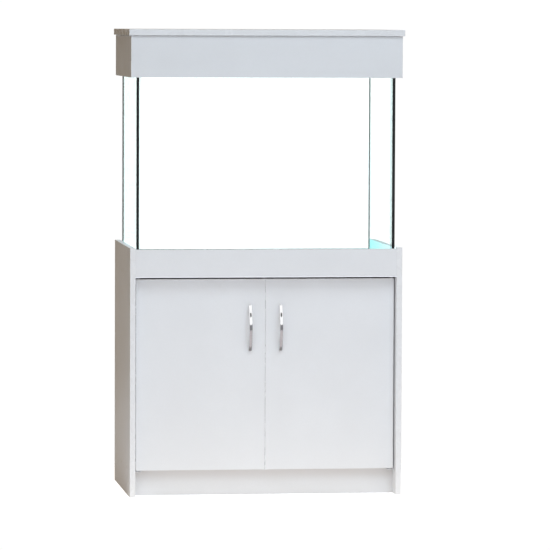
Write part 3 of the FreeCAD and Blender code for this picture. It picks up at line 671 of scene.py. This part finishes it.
def bow_handle(side, shader):
    """A bow handle as a loft of rounded sections, wider at its feet and waisted at its crest."""
    node = "handle_" + side
    low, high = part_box(node)
    seat = Vector(((low.x + high.x) / 2, high.y, (low.z + high.z) / 2))
    half_length, half_width = (high.z - low.z) / 2, (high.x - low.x) / 2
    reach, foot = high.y - low.y, half_length - HANDLE_FOOT
    outer = [Vector((0, 0, half_length)), Vector((0, -HANDLE_HEEL * 0.5, half_length))]
    outer += arc_points(Vector((0, -HANDLE_HEEL, half_length)), -reach, BOW_STEPS)
    inner = [Vector((0, 0, foot)), Vector((0, -HANDLE_FILLET[0], foot))]
    inner += arc_points(Vector((0, -HANDLE_FILLET[1], foot)), HANDLE_BAND - reach, BOW_STEPS)
    crest = len(outer) - 1
    mesh = bmesh.new()
    rings = []
    for mirror, span in ((1, range(crest + 1)), (-1, range(crest - 1, -1, -1))):
        for i in span:
            along = i / crest
            waist = half_width * (1 - BOW_WAIST * math.sin(math.pi / 2 * along) ** 2)
            corner = FOOT_CORNER - (FOOT_CORNER - BOW_CORNER) * min(1, along * 3)
            near, far = inner[i].copy(), outer[i].copy()
            near.z, far.z = near.z * mirror, far.z * mirror
            rings.append([mesh.verts.new(seat + point) for point in bow_section(near, far, waist, corner)])
    loft(mesh, rings)
    obj = piece(node + "_bow", mesh, body_of[node], shader, sharp=50)
    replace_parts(obj, node)


MAT_RIM, MAT_PULL, MAT_STEPS = 1.3 * MM, 0.35 * MM, (76, 44)
# The mat's rings from its underside up: the inset as a share of the rim, and the height as a
# share of the thickness.
MAT_LAYERS = ((0.35, 0.0), (0, 0.3), (0, 0.7), (0.45, 1.0), (1.6, 1.0))


def foam_mat():
    """The foam sheet under the tank, with soft and slightly wavy cut edges."""
    node = "tank_mat"
    low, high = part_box(node)
    mesh = bmesh.new()
    nx, ny = MAT_STEPS
    lift = high.z - low.z

    def rectangle(inset, height):
        x0, x1, y0, y1 = low.x + inset, high.x - inset, low.y + inset, high.y - inset
        points = [(x0 + (x1 - x0) * i / nx, y0) for i in range(nx)]
        points += [(x1, y0 + (y1 - y0) * i / ny) for i in range(ny)]
        points += [(x1 - (x1 - x0) * i / nx, y1) for i in range(nx)]
        points += [(x0, y1 - (y1 - y0) * i / ny) for i in range(ny)]
        ring = []
        for x, y in points:
            pull = MAT_PULL * (0.5 + 0.5 * noise(Vector((x, y, height)) * 60))
            dx = pull if x < 0 else -pull
            dy = pull if y < 0 else -pull
            ring.append(mesh.verts.new((x + dx, y + dy, low.z + lift * height)))
        return ring

    loft(mesh, [rectangle(MAT_RIM * share, height) for share, height in MAT_LAYERS])
    obj = piece("foam_mat", mesh, "cabinet", foam(), sharp=35)
    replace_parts(obj, node)


BEAD, BACK_BEAD, BEAD_GAP = 6 * MM, 4 * MM, 0.02 * MM
BEAD_STEP, BEAD_RIPPLE, FILLET_STEPS = 12 * MM, 0.07, 6


def silicone_beads():
    """Tooled beads: a hollow fillet in each inner corner, with the ripple that a finger leaves."""
    low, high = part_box("silicone_seams")
    ends, depths = ((1, low.x), (-1, high.x)), ((1, low.y), (-1, high.y))
    runs = [(2, low.z, high.z, BEAD if y < 0 else BACK_BEAD, [(0, x, inward), (1, y, forward)])
            for inward, x in ends for forward, y in depths]
    runs += [(0, low.x + BEAD, high.x - BEAD, BEAD, [(1, y, forward), (2, low.z, 1)])
             for forward, y in depths]
    runs += [(1, low.y + BEAD, high.y - BEAD, BEAD, [(0, x, inward), (2, low.z, 1)])
             for inward, x in ends]
    angles = [math.pi / 2 * step / FILLET_STEPS for step in range(FILLET_STEPS + 1)]
    fillet = [(1 - math.sin(angle), 1 - math.cos(angle)) for angle in angles] + [(0, 0)]
    mesh = bmesh.new()
    for number, (along, start, end, size, legs) in enumerate(runs):
        count = int((end - start) / BEAD_STEP)
        rings = []
        for i in range(count + 1):
            place = start + (end - start) * i / count
            leg = size * (1 - BEAD_RIPPLE * (0.5 + 0.5 * noise(Vector((place * 38, number * 7, 0)))))
            ring = []
            for shares in fillet:
                point = Vector((0, 0, 0))
                point[along] = place
                for (axis, corner, inward), share in zip(legs, shares):
                    point[axis] = corner + inward * (leg * share + BEAD_GAP)
                ring.append(mesh.verts.new(point))
            rings.append(ring)
        loft(mesh, rings)
    obj = piece("silicone_beads", mesh, "tank", clear_silicone(), sharp=40)
    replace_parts(obj, "silicone_seams")


PANE_INSET = 0.12 * MM


def glass_panes():
    for node in ("tank_base", "tank_front", "tank_back", "tank_side_left", "tank_side_right",
                 "brace_front", "brace_back", "brace_cross"):
        dress(node, float_glass(node))
        round_edges(node, ARRIS["pane"], 2, inset=PANE_INSET)


def hardware():
    plate, pin = zinc("zinc_plate"), zinc("zinc_pin", PIN_ZINC)
    screw = zinc("zinc_screw", SCREW_ZINC, yellow=0.25)
    plastic = white_plastic()
    dull = zinc("dull_zinc_plate", DULL_ZINC, metallic=0.25)
    for node in ("hinge_plates_upper", "hinge_plates_lower", "hinge_leaves_hood", "hinge_leaves_lid",
                 "strike_plate_left", "strike_plate_right", "catch_pole_plates"):
        dress(node, dull if node.startswith("hinge_plates") else plate)
        round_edges(node, ARRIS["plate"], 2)
    for node in ("hinge_pins", "lid_hinge_pins"):
        dress(node, pin)
        round_edges(node, ARRIS["pin"], 2)
    for node in ("hinge_bushes_left", "hinge_bushes_right"):
        dress(node, plastic)
        round_edges(node, ARRIS["bush"], 2)
    dress("catch_cases", plastic)
    round_edges("catch_cases", ARRIS["case"])
    dress("catch_magnets", ferrite())
    round_edges("catch_magnets", ARRIS["magnet"], 2)
    dark_screw = zinc("dark_zinc_screw", DARK_ZINC, yellow=0.3)
    for node in ("side_screws_left", "side_screws_right"):
        cross_screws(node, dark_screw)
    for node in ("partition_screws", "hinge_plate_screws", "strike_screw_left", "strike_screw_right",
                 "leaf_screws_hood", "leaf_screws_lid"):
        cross_screws(node, screw)
    for node, crown in (("handle_screws_left", 0.5), ("handle_screws_right", 0.5), ("catch_screws", 0.3)):
        cross_screws(node, screw, crown * MM)
    dress("back_panel_nails", screw)
    round_edges("back_panel_nails", ARRIS["nail"], 2)


def timber():
    wood = softwood()
    for node in ("hood_battens", "hood_corner_blocks"):
        dress(node, wood)
        round_edges(node, ARRIS["timber"], 2)


boards()
caps()
metal = chrome()
for side in ("left", "right"):
    bow_handle(side, metal)
foam_mat()
silicone_beads()
glass_panes()
hardware()
timber()
dress("back_panel", hardboard())


# ---------------------------------------------------------------- floor, light and camera

FLOOR_RADIUS, FLOOR_STEPS = 3.0, 96
FLOOR_FADE, FLOOR_GLOW = (0.45, 1.0), 0.93
FLOOR_PALE, FLOOR_CLOUD = (0.88, 0.90, 0.93), (0.865, 0.885, 0.915)
FLOOR_FRONT, FLOOR_REST = (0.92, 0.92, 0.93), (0.62, 0.60, 0.58)
GLOW_NEAR, GLOW_FAR = (0.65, 0.625, 0.60), (0.42, 0.46, 0.54)
GLOW_REST, GLOW_CONTACT = (0.42, 0.39, 0.37), (0.16, 0.13, 0.12)
MIRRORED_FAR, MIRRORED_NEAR = (0.60, 0.555, 0.565), (0.29, 0.28, 0.275)
# Where one zone of the floor gives way to the next, in depth or across.
AHEAD, NEAR_DEPTH, MIRRORED_DEPTH = (-0.12, -0.24), (-0.75, -0.40), (-0.42, -0.52)
NEAR_ACROSS, BESIDE = (0.50, 0.38), (0.40, 0.58)


def floor_finish():
    """Seen directly, a pale floor that fades out. Light that bounces finds it brightest just ahead
    of the cabinet and dark beneath it, and shiny things mirror it as grey."""
    shader = Shader("pale_floor", Roughness=0.9, Specular_IOR_Level=0.0,
                    Emission_Color=(1, 1, 1, 1), Emission_Strength=FLOOR_GLOW)
    shader.colour(shader.mix(shader.ramp(shader.noise(3, 3), 0.3, 0.7), FLOOR_PALE, FLOOR_CLOUD))
    reach = shader.add("VectorMath", {0: shader.place}, operation="LENGTH").outputs["Value"]
    gone = shader.add("BsdfTransparent")
    seen = shader.blend(shader.ramp(reach, *FLOOR_FADE), shader.surface, gone)
    side, depth, _ = shader.axes(shader.place)
    across = shader.math("ABSOLUTE", side)
    ahead = shader.ramp(depth, *AHEAD)
    near = shader.math("MULTIPLY", shader.ramp(depth, *NEAR_DEPTH), shader.ramp(across, *NEAR_ACROSS))
    front = shader.mix(near, GLOW_FAR, GLOW_NEAR)
    rest = shader.mix(shader.ramp(across, *BESIDE), GLOW_CONTACT, GLOW_REST)
    bounce = shader.add("BsdfDiffuse", {"Color": shader.mix(ahead, FLOOR_REST, FLOOR_FRONT)})
    glow = shader.add("Emission", {"Color": shader.mix(ahead, rest, front)})
    lit = shader.add("AddShader", {0: bounce.outputs[0], 1: glow.outputs[0]})
    grey = shader.mix(shader.ramp(depth, *MIRRORED_DEPTH), MIRRORED_NEAR, MIRRORED_FAR)
    mirrored = shader.add("Emission", {"Color": grey})
    path = shader.add("LightPath").outputs
    unseen = shader.blend(path["Is Glossy Ray"], lit, mirrored)
    shader.show(shader.blend(shader.direct_rays(path), unseen, seen))
    return shader


def floor():
    """A pale round floor that fades out into the backdrop, and lights the cabinet from below."""
    mesh = bmesh.new()
    bmesh.ops.create_circle(mesh, cap_ends=True, radius=FLOOR_RADIUS, segments=FLOOR_STEPS)
    data = bpy.data.meshes.new("floor")
    mesh.to_mesh(data)
    mesh.free()
    obj = placed("floor", data)
    dress(obj, floor_finish())


BACKDROP, THROUGH_GLASS = 1.02, 1.9
ROOM_HIGH, ROOM_LOW, ROOM_RISE = (0.378, 0.292, 0.194), (0.113, 0.086, 0.057), (-0.05, 0.35)
# What shiny things mirror, from straight down at 0 to straight up at 1.
MIRRORED_ROOM = ((0.0, (0.48, 0.45, 0.46)), (0.355, (0.48, 0.45, 0.46)), (0.375, (0.19, 0.19, 0.20)),
                 (0.53, (0.21, 0.21, 0.22)), (0.55, (1.0, 1.0, 1.0)), (0.935, (1.0, 1.0, 1.0)),
                 (0.955, (0.30, 0.30, 0.31)))
MIRRORED_FRONT, MIRRORED_STRENGTH, SPOT_STRENGTH = (0.0, -0.3), 1.25, 0.12
SPOT_AT, SPOT_EDGE, SPOT_SQUASH = Vector((0.02, -0.838, 0.545)), (0.17, 0.23), Vector((0.5, 1.0, 2.0))


def world():
    """White seen directly or through glass. The room itself is dim and warm, but shiny things
    mirror a brighter front half: grey low down, a dark band up to the horizon, white above with
    one dim spot, and grey overhead."""
    sky = bpy.data.worlds.new("studio")
    sky.use_nodes = True
    scene.world = sky
    sky.node_tree.nodes.clear()
    studio = Nodes(sky.node_tree)
    path = studio.add("LightPath").outputs
    direction = studio.add("TexCoord").outputs["Generated"]
    _, depth, rise = studio.axes(direction)
    room = studio.mix(studio.ramp(rise, *ROOM_RISE), ROOM_LOW, ROOM_HIGH)
    bands = studio.add("ValToRGB", {0: studio.math("MULTIPLY_ADD", rise, 0.5, 0.5)})
    while len(bands.color_ramp.elements) < len(MIRRORED_ROOM):
        bands.color_ramp.elements.new(0.5)
    for element, (place, colour) in zip(bands.color_ramp.elements, MIRRORED_ROOM):
        element.position, element.color = place, (*colour, 1)
    squashed = studio.add("VectorMath", {0: direction, 1: SPOT_SQUASH}, operation="MULTIPLY").outputs[0]
    spot = studio.add("VectorMath", {0: squashed, 1: SPOT_AT * SPOT_SQUASH}, operation="DISTANCE")
    strength = studio.ramp(spot.outputs["Value"], *SPOT_EDGE, SPOT_STRENGTH, MIRRORED_STRENGTH)
    dim = studio.add("Background", {"Color": room})
    bright = studio.add("Background", {"Color": bands.outputs["Color"], "Strength": strength})
    through = studio.add("Background", {"Color": (1, 1, 1, 1), "Strength": THROUGH_GLASS})
    seen = studio.add("Background", {"Color": (1, 1, 1, 1), "Strength": BACKDROP})
    ahead = studio.math("MULTIPLY", path["Is Glossy Ray"], studio.ramp(depth, *MIRRORED_FRONT))
    glazed = studio.math("MULTIPLY", path["Is Transmission Ray"], studio.direct_rays(path))
    mixed = dim
    for factor, other in ((ahead, bright), (glazed, through), (path["Is Camera Ray"], seen)):
        mixed = studio.blend(factor, mixed, other)
    studio.feed(studio.add("OutputWorld").inputs["Surface"], mixed.outputs[0])


# Each lamp's name, place, aim, width, height, power in watts and colour.
LAMPS = (("front", (0.9, -4.2, 2.7), (0, 0, 0.75), 2.6, 1.8, 29, (0.56, 0.76, 1.0)),
         ("over_front", (0.1, -2.3, 3.6), (0, -0.6, 0), 3.2, 1.8, 73.5, (0.78, 0.89, 1.0)))


def softbox(name, at, aim, width, height, power, colour):
    """A rectangular lamp that is neither seen nor mirrored."""
    lamp = bpy.data.lights.new(name, "AREA")
    lamp.shape = "RECTANGLE"
    lamp.size, lamp.size_y = width, height
    lamp.energy, lamp.color = power, colour
    obj = placed(name, lamp)
    obj.location = at
    obj.rotation_mode = "QUATERNION"
    obj.rotation_quaternion = (Vector(aim) - Vector(at)).to_track_quat("-Z", "Y")
    obj.visible_camera = False
    obj.visible_glossy = False


CAMERA_AT = (-1.5543, -12.2114, 1.3942)
CAMERA_YAW, CAMERA_DOWN, CAMERA_ROLL = (math.radians(angle) for angle in (-7.5115, 3.5316, 0.2226))
CAMERA_SENSOR, CAMERA_LENS, CAMERA_REACH = 36, 271.5, 60


def camera():
    """The photograph's viewpoint: a long lens from the left, just above the lid's height."""
    data = bpy.data.cameras.new("camera")
    data.sensor_width, data.lens = CAMERA_SENSOR, CAMERA_LENS
    data.clip_end = CAMERA_REACH
    obj = placed("camera", data)
    turn = (Matrix.Rotation(CAMERA_YAW, 3, "Z") @ Matrix.Rotation(math.pi / 2 - CAMERA_DOWN, 3, "X")
            @ Matrix.Rotation(CAMERA_ROLL, 3, "Z"))
    obj.matrix_world = Matrix.Translation(CAMERA_AT) @ turn.to_4x4()
    scene.camera = obj


floor()
world()
for lamp in LAMPS:
    softbox(*lamp)
camera()
scene.view_settings.view_transform = "Standard"
